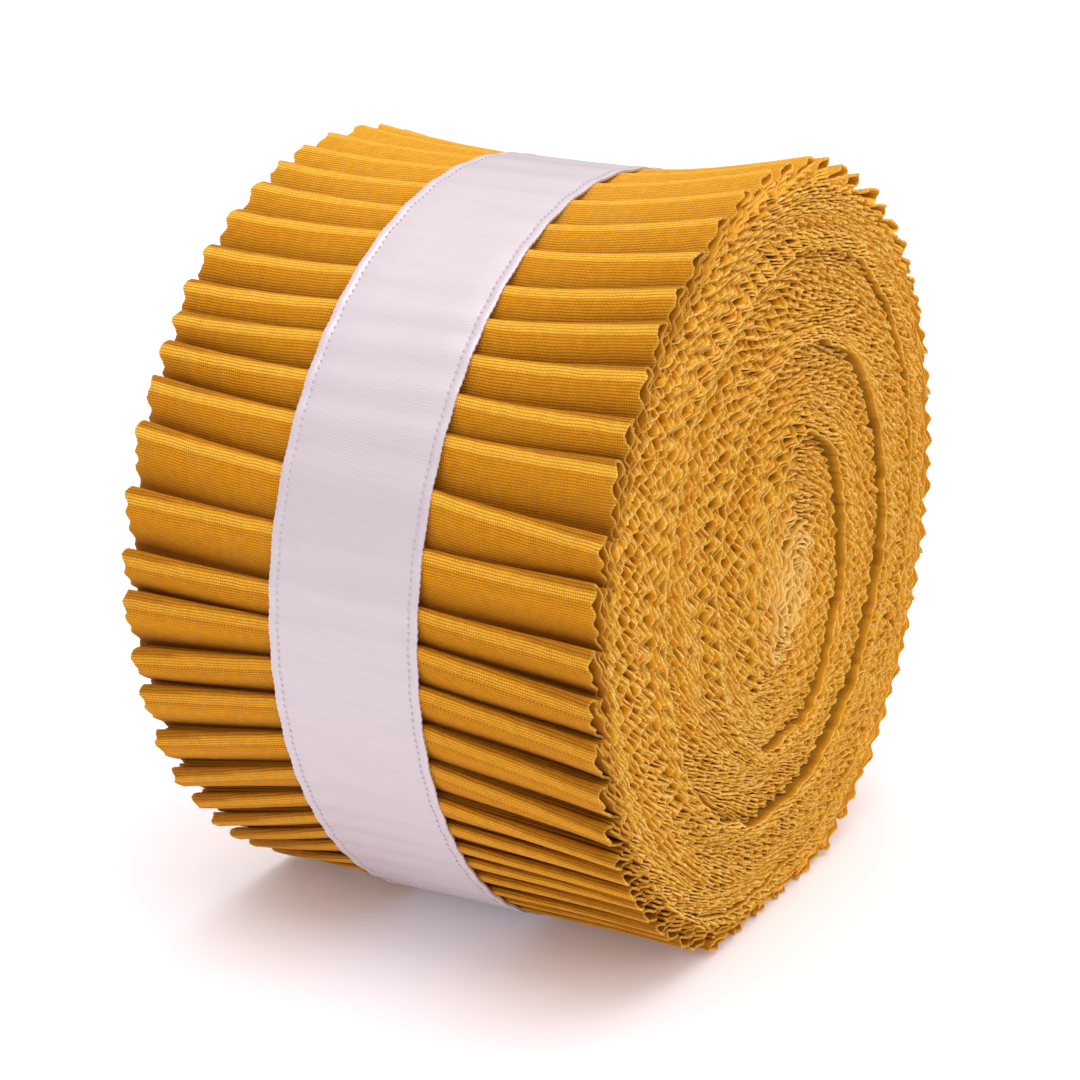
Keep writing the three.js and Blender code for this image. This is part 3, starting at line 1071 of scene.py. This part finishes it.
@dataclass
class RibbonBand:
    """Satin ribbon laid over the crests, its ends lapped on the far side."""

    form: RollForm
    material: bpy.types.Material
    stitch_material: bpy.types.Material
    lap_start: float = 246.0
    lap: float = 26.0
    rise: float = 14.0
    lift: float = 0.38
    steps_per_fold: int = 18
    sag: float = 0.16
    hem: float = 1.12
    border: tuple[float, ...] = (0.0, 0.3, 0.85, 1.05, 1.3)
    border_rise: tuple[float, ...] = (0.03, 0.1, 0.1, -0.03, 0.0)
    picot_pitch: float = 0.9
    picot_depth: float = 0.06
    stitch_pitch: float = 0.9
    stitch_length: float = 0.56
    stitch_width: float = 0.34
    stitch_height: float = 0.18
    stitch_slant: float = 35.0

    def _crests(self, numbers: range) -> np.ndarray:
        """Angles of some fold edges under the ribbon."""
        return np.array([float(self.form.fold_angle(number, np.array(0.0))) for number in numbers])

    def _angles(self) -> np.ndarray:
        """Angles of the ribbon's rows, a fixed number to each panel."""
        crests = self._crests(range(2 * FOLD_COUNT))
        places = np.arange(0, 2 * FOLD_COUNT - 1, 1 / self.steps_per_fold)
        angles = np.interp(places, np.arange(2 * FOLD_COUNT), crests)
        last = self.lap_start + 360 + self.lap
        inside = angles[(angles > self.lap_start + 0.3) & (angles < last - 0.3)]
        return np.concatenate([[self.lap_start], inside, [last]])

    def _surface(self, x: np.ndarray, angle: np.ndarray, above: float | np.ndarray = 0.0) -> np.ndarray:
        """Points on the ribbon's middle surface.

        Args:
            x: Places across the ribbon, in one row or in a row for each angle.
            angle: Degrees, which run past a full turn where the ribbon laps.
            above: Distance above the middle surface, the same or one for each place across.

        Returns:
            Points in metres, rows along the ribbon by places across it.
        """
        crests = self._crests(range(-1, 2 * FOLD_COUNT + 1))
        between = np.interp(angle, crests, np.arange(len(crests))) % 1
        sagged = self.sag * np.sin(np.pi * np.clip((between - 0.12) % 1, 0, 1)) ** 2
        turned = (angle - self.lap_start - (360 - self.rise)) / self.rise
        lapped = self.lift * 0.5 * (1 - np.cos(np.pi * np.clip(turned, 0, 1)))
        rest = (CLOTH_THICKNESS + RIBBON_THICKNESS) / 2 + 0.02
        radius = self.form.at("radius", x) + (rest - sagged + lapped)[:, None] + above
        return self.form.place(np.broadcast_to(x, radius.shape), radius, angle[:, None])

    def _stitch_tree(self) -> bpy.types.NodeTree:
        """Geometry Nodes that set slanted stitches along a path."""
        sizes = ("Stitch Pitch", "Stitch Length", "Stitch Width", "Stitch Height")
        tree, size = new_tree("ribbon_stitches", sizes)
        curve = add_node(tree, "GeometryNodeMeshToCurve", {"Mesh": size["Geometry"]})
        curve = add_node(tree, "GeometryNodeResampleCurve",
                         {"Curve": curve, "Length": size["Stitch Pitch"]}, mode="LENGTH")
        tangent = add_node(tree, "GeometryNodeInputTangent")
        outward = add_node(tree, READ, {"Name": "outward"}, data_type="FLOAT_VECTOR", output="Attribute")
        upright = add_node(tree, "FunctionNodeAlignRotationToVector", {"Vector": outward}, axis="Z")
        facing = add_node(tree, "FunctionNodeAlignRotationToVector",
                          {"Rotation": upright, "Vector": tangent}, axis="X", pivot_axis="Z")
        slant = add_node(tree, "FunctionNodeRotateRotation", facing,
                         (0.0, 0.0, math.radians(self.stitch_slant)), rotation_space="LOCAL")
        knot = add_node(tree, "GeometryNodeMeshIcoSphere", {"Radius": 0.5, "Subdivisions": 1})
        knot = add_node(tree, "GeometryNodeSetShadeSmooth", {"Geometry": knot})
        scale = add_node(tree, "ShaderNodeCombineXYZ",
                         size["Stitch Length"], size["Stitch Width"], size["Stitch Height"])
        stitches = add_node(tree, "GeometryNodeInstanceOnPoints",
                            {"Points": curve, "Instance": knot, "Rotation": slant, "Scale": scale})
        close_tree(tree, stitches, self.stitch_material)
        return tree

    def _stitches(self, angle: np.ndarray) -> bpy.types.Object:
        """Rows of stitches just inside both edges of the ribbon.

        Args:
            angle: Angles of the ribbon's rows.

        Returns:
            The finished piece.
        """
        paths, outward = [], []
        for x in (RIBBON_LEFT + self.hem, RIBBON_RIGHT - self.hem):
            points = self._surface(np.array([x]), angle, RIBBON_THICKNESS / 2)[:, 0]
            above = self._surface(np.array([x]), angle, RIBBON_THICKNESS / 2 + 1.0)[:, 0]
            paths.append(points)
            outward.append((above - points) / MM)
        piece = path_object("ribbon_stitches", paths, {"outward": outward})
        grow(piece, self._stitch_tree(), {
            "Stitch Pitch": self.stitch_pitch * MM,
            "Stitch Length": self.stitch_length * MM,
            "Stitch Width": self.stitch_width * MM,
            "Stitch Height": self.stitch_height * MM,
        })
        return piece

    def build(self) -> list[bpy.types.Object]:
        """Returns:
            The finished pieces.
        """
        angle = self._angles()
        width = RIBBON_RIGHT - RIBBON_LEFT
        border = np.array(self.border)
        x = np.concatenate([RIBBON_LEFT + border, RIBBON_LEFT + width * np.array([0.25, 0.5, 0.75]),
                            RIBBON_RIGHT - border[::-1]])
        rise = np.concatenate([self.border_rise, np.zeros(3), self.border_rise[::-1]])
        steps = np.linalg.norm(np.diff(self._surface(x, angle), axis=0), axis=2)
        path = np.concatenate([np.zeros((1, len(x))), np.cumsum(steps, axis=0)])
        edge = np.array([-1.0] + [0.0] * (len(x) - 2) + [1.0])
        picots = self.picot_depth * np.sin(2 * np.pi * path / (self.picot_pitch * MM))
        middle = self._surface(x + edge * picots, angle, rise)
        points, faces = cloth_shell(middle, RIBBON_THICKNESS)
        inset = np.broadcast_to(np.minimum(x - x[0], x[-1] - x), path.shape)
        values = {"u": np.broadcast_to(x, path.shape) * MM, "v": path, "inset": inset * MM}
        parts = MeshParts()
        parts.add(points, faces, **{k: np.tile(v.ravel(), 2) for k, v in values.items()})
        band = parts.build("satin_ribbon", self.material)
        stitches = self._stitches(angle)
        for piece in (band, stitches):
            attach(piece, "ribbon_band")
        length = float(path[-1].mean())
        report(band, f"ribbon {width:.1f} mm wide and {length / MM:.0f} mm long")
        report(stitches, "stitches along both edges of the ribbon")
        return [band, stitches]


@dataclass(frozen=True)
class CottonFinish:
    """Quilting cotton, plain woven and dyed through: matt, with a soft fuzz where it is cut, and painted
    shade and painted highlights in its colour.
    """

    name: str = "Woven quilting cotton"
    body: str = "#D48E18"
    thread_top: str = "#FFFFF0"
    thread_gap: str = "#8C7660"
    # Painted highlight: the bright band along each fold's crest, also used for painted light on the far-side
    # hairpins
    crest: str = "#F6BC42"
    # Painted shade: darkens folds towards their tucks, the insides of the hairpins and the step wall of the
    # end face
    painted_shade: str = "#5E2504"
    # Pale cut edges: partly real fray, partly a painted highlight on the tooth tips
    cut_edge_and_highlight: str = "#D3A836"
    thread_end_and_highlight: str = "#F0D680"
    # Painted shade in the pits of the end face, on wound cloth further in from its cut edge
    inner: str = "#8C6512"
    core: str = "#EFD184"
    # Threads 0.34 and 0.3 mm apart are about 75 and 85 to the inch, as in fine quilting cotton
    weft_spacing: float = 0.34
    warp_spacing: float = 0.3
    # Distances below the crest of the painted dot rows
    dot_row_places: tuple[float, ...] = (0.9, 1.15)
    row_pitch: float = 0.5
    thread_drift: float = 0.3
    roughness: float = 0.88
    pit_shade_share: float = 0.85
    painted_shade_share: float = 0.8
    crest_highlight_share: float = 0.7
    dot_row_share: float = 0.45
    core_share: float = 0.55
    bump_height: float = 0.08

    def _plane(self, tree: bpy.types.NodeTree) -> bpy.types.NodeSocket:
        """Lay the cloth flat, with its threads wandering a little.

        Args:
            tree: Tree that gets the nodes.

        Returns:
            Place across and along the cloth.
        """
        plane = add_node(tree, "ShaderNodeUVMap", uv_map="UVMap")
        drift = add_node(tree, NOISE, {"Vector": plane, "Scale": 260.0, "Detail": 1.0},
                         output="Color", **FLAT)
        drift = add_node(tree, VECTOR, drift, (0.5, 0.5, 0.5), operation="SUBTRACT")
        drift = add_node(tree, VECTOR, {0: drift, "Scale": self.thread_drift * MM}, operation="SCALE")
        return add_node(tree, VECTOR, plane, drift, operation="ADD")

    def _weave(self, tree: bpy.types.NodeTree, place: Any) -> bpy.types.NodeSocket:
        """Plain weave, as high as its threads stand.

        Args:
            tree: Tree that gets the nodes.
            place: Sockets with the place across and along the cloth.

        Returns:
            Height of the threads, from zero to one.
        """
        over, under = (math.pi / (spacing * MM) for spacing in (self.weft_spacing, self.warp_spacing))
        across = add_node(tree, MATH, place["X"], under, operation="MULTIPLY")
        across = add_node(tree, MATH, across, operation="SINE")
        along = add_node(tree, MATH, place["Y"], over, operation="MULTIPLY")
        along = add_node(tree, MATH, along, operation="SINE")
        checks = add_node(tree, MATH, across, along, operation="MULTIPLY")
        checks = add_node(tree, MATH, checks, 0.5, 0.5, operation="MULTIPLY_ADD")
        weft = add_node(tree, MATH, along, operation="ABSOLUTE")
        weft = add_node(tree, MATH, weft, 0.52, operation="MULTIPLY")
        warp = add_node(tree, MATH, across, operation="ABSOLUTE")
        warp = add_node(tree, MATH, warp, 0.3, weft, operation="MULTIPLY_ADD")
        return add_node(tree, MATH, checks, 0.18, warp, operation="MULTIPLY_ADD")

    def _dye(self, tree: bpy.types.NodeTree,
             stored: Mapping[str, bpy.types.NodeSocket]) -> bpy.types.NodeSocket:
        """Colour of the cloth, with painted shade in the pits of the end face and in the creases, and painted
        highlights along the folds.

        Args:
            tree: Tree that gets the nodes.
            stored: Values stored on the mesh.

        Returns:
            The colour, before its threads show.
        """
        # Painted shade in the pits of the end face: wound cloth more than 0.2 mm in from its cut edge turns
        # darker
        hidden = add_node(tree, RANGE, stored["inset"], 0.2 * MM, 1.2 * MM, **SMOOTH)
        hidden = add_node(tree, MATH, hidden, stored["wound"], operation="MULTIPLY")
        hidden = add_node(tree, MATH, hidden, self.pit_shade_share, operation="MULTIPLY")
        cloth = add_node(tree, MIX, {0: hidden, 6: linear_colour(self.body), 7: linear_colour(self.inner)},
                         **COLOURS)
        # Painted shade in the creases, on the inner leaves and on the step wall
        painted_shade_mix = add_node(tree, MATH, stored["painted_shade"], self.painted_shade_share, operation="MULTIPLY")
        cloth = add_node(tree, MIX, {0: painted_shade_mix, 6: cloth, 7: linear_colour(self.painted_shade)}, **COLOURS)
        # Painted highlight: a bright band just past each crest
        above = add_node(tree, RANGE, stored["from_crest"], -0.6 * MM, -0.2 * MM, **SMOOTH)
        below = add_node(tree, RANGE, stored["from_crest"], 0.6 * MM, 0.95 * MM, **SMOOTH)
        below = add_node(tree, MATH, 1.0, below, operation="SUBTRACT")
        band = add_node(tree, MATH, above, below, operation="MULTIPLY")
        band = add_node(tree, MATH, band, stored["crest"], operation="MULTIPLY")
        band = add_node(tree, MATH, band, self.crest_highlight_share, operation="MULTIPLY")
        # Painted light on the far-side hairpins and over the top, in the crest highlight colour
        band = add_node(tree, MATH, band, stored["painted_light"], operation="MAXIMUM")
        return add_node(tree, MIX, {0: band, 6: cloth, 7: linear_colour(self.crest)}, **COLOURS)

    def _painted_dot_rows(self, tree: bpy.types.NodeTree, stored: Mapping[str, bpy.types.NodeSocket],
                   along: bpy.types.NodeSocket) -> bpy.types.NodeSocket:
        """Painted rows of dark dots a little below the crest, drawn in the painted shade colour to stand in
        for the weave catching light over the fold.

        Args:
            tree: Tree that gets the nodes.
            stored: Values stored on the mesh.
            along: Place along the fold.

        Returns:
            One in the dots and zero elsewhere.
        """
        rows = []
        for place in self.dot_row_places:
            off = add_node(tree, MATH, stored["from_crest"], place * MM, operation="SUBTRACT")
            off = add_node(tree, MATH, off, operation="ABSOLUTE")
            off = add_node(tree, RANGE, off, 0.03 * MM, 0.13 * MM, **SMOOTH)
            rows.append(add_node(tree, MATH, 1.0, off, operation="SUBTRACT"))
        dots = add_node(tree, MATH, along, 2 * math.pi / (self.row_pitch * MM), operation="MULTIPLY")
        dots = add_node(tree, MATH, dots, operation="SINE")
        dots = add_node(tree, RANGE, dots, -0.4, 0.6, **SMOOTH)
        dot_rows = add_node(tree, MATH, *rows, operation="MAXIMUM")
        dot_rows = add_node(tree, MATH, dot_rows, dots, operation="MULTIPLY")
        return add_node(tree, MATH, dot_rows, stored["dot_row_mask"], operation="MULTIPLY")

    def _cut(self, tree: bpy.types.NodeTree, cloth: bpy.types.NodeSocket,
             stored: Mapping[str, bpy.types.NodeSocket], plane: bpy.types.NodeSocket) -> bpy.types.NodeSocket:
        """Pale flecks along the pinked edges, partly real thread ends and partly a painted highlight on the
        tooth tips, and paler cloth still in the core.

        Args:
            tree: Tree that gets the nodes.
            cloth: Colour of the cloth away from its edges.
            stored: Values stored on the mesh.
            plane: The cloth laid flat.

        Returns:
            The colour with its edges.
        """
        fuzz = add_node(tree, NOISE, {"Vector": plane, "Scale": 2200.0, "Detail": 2.0}, **FLAT)
        depth = add_node(tree, MATH, fuzz, 0.5 * MM, operation="MULTIPLY")
        depth = add_node(tree, MATH, stored["inset"], depth, operation="ADD")
        # Real fray mixed with a painted highlight along the cut edges
        pale = add_node(tree, RANGE, depth, 0.2 * MM, 0.6 * MM, **SMOOTH)
        pale = add_node(tree, MATH, 1.0, pale, operation="SUBTRACT")
        fray_and_highlight = add_node(tree, MATH, stored["wound"], 0.5, 0.25, operation="MULTIPLY_ADD")
        fray_and_highlight = add_node(tree, MATH, pale, fray_and_highlight, operation="MULTIPLY")
        flecks = add_node(tree, RANGE, fuzz, 0.4, 0.62, **SMOOTH)
        flecks = add_node(tree, MIX, {
            0: flecks, 6: linear_colour(self.cut_edge_and_highlight), 7: linear_colour(self.thread_end_and_highlight),
        }, **COLOURS)
        cloth = add_node(tree, MIX, {0: fray_and_highlight, 6: cloth, 7: flecks}, **COLOURS)
        bleached = add_node(tree, RANGE, depth, 0.2 * MM, 0.9 * MM, **SMOOTH)
        bleached = add_node(tree, MATH, 1.0, bleached, operation="SUBTRACT")
        bleached = add_node(tree, MATH, stored["core"], bleached, operation="MULTIPLY")
        bleached = add_node(tree, MATH, bleached, self.core_share, operation="MULTIPLY")
        return add_node(tree, MIX, {0: bleached, 6: cloth, 7: linear_colour(self.core)}, **COLOURS)

    def material(self) -> bpy.types.Material:
        """Build the material.

        Returns:
            The finished material.
        """
        material = new_material(self.name, {
            "Roughness": self.roughness,
            "Specular IOR Level": 0.12,
            "Sheen Weight": 0.08,
            "Sheen Roughness": 0.45,
            "Sheen Tint": linear_colour("#FFD890"),
        })
        tree = material.node_tree
        names = ("inset", "wound", "crest", "painted_light", "painted_shade", "from_crest", "dot_row_mask", "weave", "core")
        stored = {name: add_node(tree, "ShaderNodeAttribute", attribute_name=name, output="Fac")
                  for name in names}
        plane = self._plane(tree)
        place = add_node(tree, "ShaderNodeSeparateXYZ", plane).node.outputs
        weave = self._weave(tree, place)
        shown = add_node(tree, MATH, stored["weave"], 0.9, 0.1, operation="MULTIPLY_ADD")
        slub = add_node(tree, NOISE, {"Vector": plane, "Scale": 900.0, "Detail": 2.0}, **FLAT)
        cloud = add_node(tree, NOISE, {"Vector": plane, "Scale": 70.0, "Detail": 2.0}, **FLAT)

        threads = add_node(tree, RANGE, weave, 0.2, 0.95, **SMOOTH)
        threads = add_node(tree, MIX, {
            0: threads, 6: linear_colour(self.thread_gap), 7: linear_colour(self.thread_top),
        }, **COLOURS)
        share = add_node(tree, MATH, cloud, 0.5, 0.45, operation="MULTIPLY_ADD")
        share = add_node(tree, MATH, shown, share, operation="MULTIPLY")
        cloth = self._dye(tree, stored)
        cloth = add_node(tree, MIX, {0: share, 6: cloth, 7: threads}, blend_type="MULTIPLY", **COLOURS)
        shade = add_node(tree, MATH, cloud, 0.2, 0.9, operation="MULTIPLY_ADD")
        slubs = add_node(tree, MATH, slub, 0.36, 0.98, operation="MULTIPLY_ADD")
        shade = add_node(tree, MATH, slubs, shade, operation="MULTIPLY")
        tone = add_node(tree, "ShaderNodeCombineColor", shade, shade, shade)
        cloth = add_node(tree, MIX, {0: 1.0, 6: cloth, 7: tone}, blend_type="MULTIPLY", **COLOURS)
        # Painted rows of dark dots below the crests of the lower panels
        dot_rows = self._painted_dot_rows(tree, stored, place["X"])
        dot_rows = add_node(tree, MATH, dot_rows, self.dot_row_share, operation="MULTIPLY")
        cloth = add_node(tree, MIX, {0: dot_rows, 6: cloth, 7: linear_colour(self.painted_shade)}, **COLOURS)
        cloth = self._cut(tree, cloth, stored, plane)

        height = add_node(tree, MATH, weave, shown, operation="MULTIPLY")
        height = add_node(tree, MATH, slub, 0.5, height, operation="MULTIPLY_ADD")
        dress(material, cloth, height, 0.8, self.bump_height)
        return material


@dataclass(frozen=True)
class SatinFinish:
    """Polyester satin ribbon: near white, with a soft gleam and fine ribs across it."""

    name: str = "White polyester satin"
    body: str = "#CEC1C8"
    # Ribs are drawn coarser than in real satin, so that they show
    rib_spacing: float = 0.36
    roughness: float = 0.33
    bump_height: float = 0.05

    def material(self) -> bpy.types.Material:
        """Build the material.

        Returns:
            The finished material.
        """
        material = new_material(self.name, {
            "Roughness": self.roughness,
            "IOR": 1.8,
            "Sheen Weight": 0.35,
            "Sheen Roughness": 0.3,
            "Specular IOR Level": 0.8,
        })
        tree = material.node_tree
        plane = add_node(tree, "ShaderNodeUVMap", uv_map="UVMap")
        along = add_node(tree, "ShaderNodeSeparateXYZ", plane, output="Y")
        ribs = add_node(tree, MATH, along, 2 * math.pi / (self.rib_spacing * MM), operation="MULTIPLY")
        ribs = add_node(tree, MATH, ribs, operation="SINE")
        grain = add_node(tree, NOISE, {"Vector": plane, "Scale": 1800.0, "Detail": 2.0})
        streak = add_node(tree, VECTOR, plane, (60.0, 900.0, 1.0), operation="MULTIPLY")
        streak = add_node(tree, NOISE, {"Vector": streak, "Scale": 1.0, "Detail": 2.0})
        height = add_node(tree, MATH, ribs, 0.25, grain, operation="MULTIPLY_ADD")
        height = add_node(tree, MATH, height, streak, operation="ADD")
        shade = add_node(tree, MATH, streak, 0.1, 0.93, operation="MULTIPLY_ADD")
        tone = add_node(tree, "ShaderNodeCombineColor", shade, shade, shade)
        satin = add_node(tree, MIX, {0: 1.0, 6: linear_colour(self.body), 7: tone},
                         blend_type="MULTIPLY", **COLOURS)
        dress(material, satin, height, 0.35, self.bump_height)
        return material


@dataclass(frozen=True)
class ThreadFinish:
    """Polyester thread of the ribbon's edges: brighter than the satin, and rounder."""

    name: str = "White polyester thread"
    body: str = "#CFC2C9"
    shaded: str = "#B9ACB3"

    def material(self) -> bpy.types.Material:
        """Build the material.

        Returns:
            The finished material.
        """
        material = new_material(self.name, {"Roughness": 0.75, "Specular IOR Level": 0.2})
        tree = material.node_tree
        place = add_node(tree, "ShaderNodeTexCoord", output="Object")
        grain = add_node(tree, NOISE, {"Vector": place, "Scale": 2500.0, "Detail": 1.0})
        thread = add_node(tree, MIX, {
            0: grain, 6: linear_colour(self.shaded), 7: linear_colour(self.body),
        }, **COLOURS)
        dress(material, thread)
        return material


@dataclass(frozen=True)
class Studio:
    """Pale floor, soft lights and the camera of the photograph."""

    focal_length: float = 76.67
    sensor: float = 36.0
    azimuth: float = 30.02
    elevation: float = 17.21
    camera_place: tuple[float, float, float] = (143.0, -253.8, 135.4)
    floor_colour: str = "#F1EFF4"
    floor_glow: float = 0.13
    floor_radius: float = 9000.0
    horizon_glow: float = 0.3
    sky_glow: float = 1.08
    sun_angle: float = 50.0
    sun_strength: float = 1.4
    sun_tilt: tuple[float, float] = (4.0, 5.0)
    softbox_place: tuple[float, float, float] = (1300.0, -150.0, 700.0)
    softbox_size: float = 800.0
    softbox_watts: float = 4.5

    def camera(self) -> None:
        """Set the camera where the photograph was taken from."""
        data = bpy.data.cameras.new("camera")
        data.lens = self.focal_length
        data.sensor_width = self.sensor
        data.sensor_fit = "HORIZONTAL"
        data.clip_start = 0.01
        data.clip_end = 50.0
        camera = bpy.data.objects.new("camera", data)
        bpy.context.scene.collection.objects.link(camera)
        a, e = math.radians(self.azimuth), math.radians(self.elevation)
        back = Vector((math.sin(a) * math.cos(e), -math.cos(a) * math.cos(e), math.sin(e)))
        right = Vector((math.cos(a), math.sin(a), 0.0))
        up = back.cross(right)
        turn = Matrix((right, up, back)).transposed().to_4x4()
        camera.matrix_world = Matrix.Translation(Vector(self.camera_place) * MM) @ turn
        bpy.context.scene.camera = camera

    def _softbox(self) -> None:
        """Add the square soft light that faces the bundle from the right."""
        data = bpy.data.lights.new("light_right", "AREA")
        data.shape = "SQUARE"
        data.size = self.softbox_size * MM
        data.energy = self.softbox_watts
        light = bpy.data.objects.new("light_right", data)
        light.location = Vector(self.softbox_place) * MM
        aim = Vector((0.0, 0.0, 0.05)) - light.location
        light.rotation_euler = aim.to_track_quat("-Z", "Y").to_euler()
        bpy.context.scene.collection.objects.link(light)

    def lights(self) -> None:
        """Add the soft lights and the pale surroundings."""
        sun = bpy.data.lights.new("light_above", "SUN")
        sun.energy = self.sun_strength
        sun.angle = math.radians(self.sun_angle)
        sun.color = linear_colour("#FFFBF8")[:3]
        lamp = bpy.data.objects.new("light_above", sun)
        lamp.rotation_euler = (*map(math.radians, self.sun_tilt), 0.0)
        lamp.location = (0.0, 0.0, 1.5)
        bpy.context.scene.collection.objects.link(lamp)
        self._softbox()
        world = bpy.data.worlds.new("surroundings")
        world.use_nodes = True
        tree = world.node_tree
        background = tree.nodes["Background"]
        background.inputs["Color"].default_value = linear_colour("#FFFCFD")
        rise = add_node(tree, "ShaderNodeTexCoord", output="Generated")
        rise = add_node(tree, "ShaderNodeSeparateXYZ", rise, output="Z")
        glow = add_node(tree, RANGE, rise, 0.0, 0.9, self.horizon_glow, self.sky_glow)
        tree.links.new(glow, background.inputs["Strength"])
        bpy.context.scene.world = world
        bpy.context.scene.view_settings.view_transform = "Standard"

    def floor(self) -> None:
        """Add the pale floor, which isn't part of the object."""
        corners = 64
        angles = np.linspace(0, 2 * np.pi, corners, endpoint=False)
        rim = np.stack([np.cos(angles), np.sin(angles), np.zeros(corners)], axis=1) * self.floor_radius * MM
        mesh = bpy.data.meshes.new("floor")
        mesh.from_pydata(rim.tolist(), [], [list(range(corners))])
        mesh.materials.append(new_material("White paper sweep", {
            "Base Color": linear_colour(self.floor_colour),
            "Roughness": 0.9,
            "Specular IOR Level": 0.1,
            "Emission Color": linear_colour("#FFF4F6"),
            "Emission Strength": self.floor_glow,
        }))
        floor = bpy.data.objects.new("floor", mesh)
        bpy.context.scene.collection.objects.link(floor)


def main() -> None:
    """Build the scene in order."""
    logging.basicConfig(level=logging.INFO, format="%(name)s: %(message)s", stream=sys.stdout)
    studio = Studio()
    studio.camera()
    studio.lights()
    studio.floor()
    cotton = CottonFinish().material()
    satin = SatinFinish().material()
    thread = ThreadFinish().material()
    form = RollForm()
    WoundStrips(form, cotton).build()
    ends = FoldedEnds(form, cotton)
    for reach in Reach:
        ends.build(reach)
    RibbonBand(form, satin, thread).build()


if __name__ == "__main__":
    main()
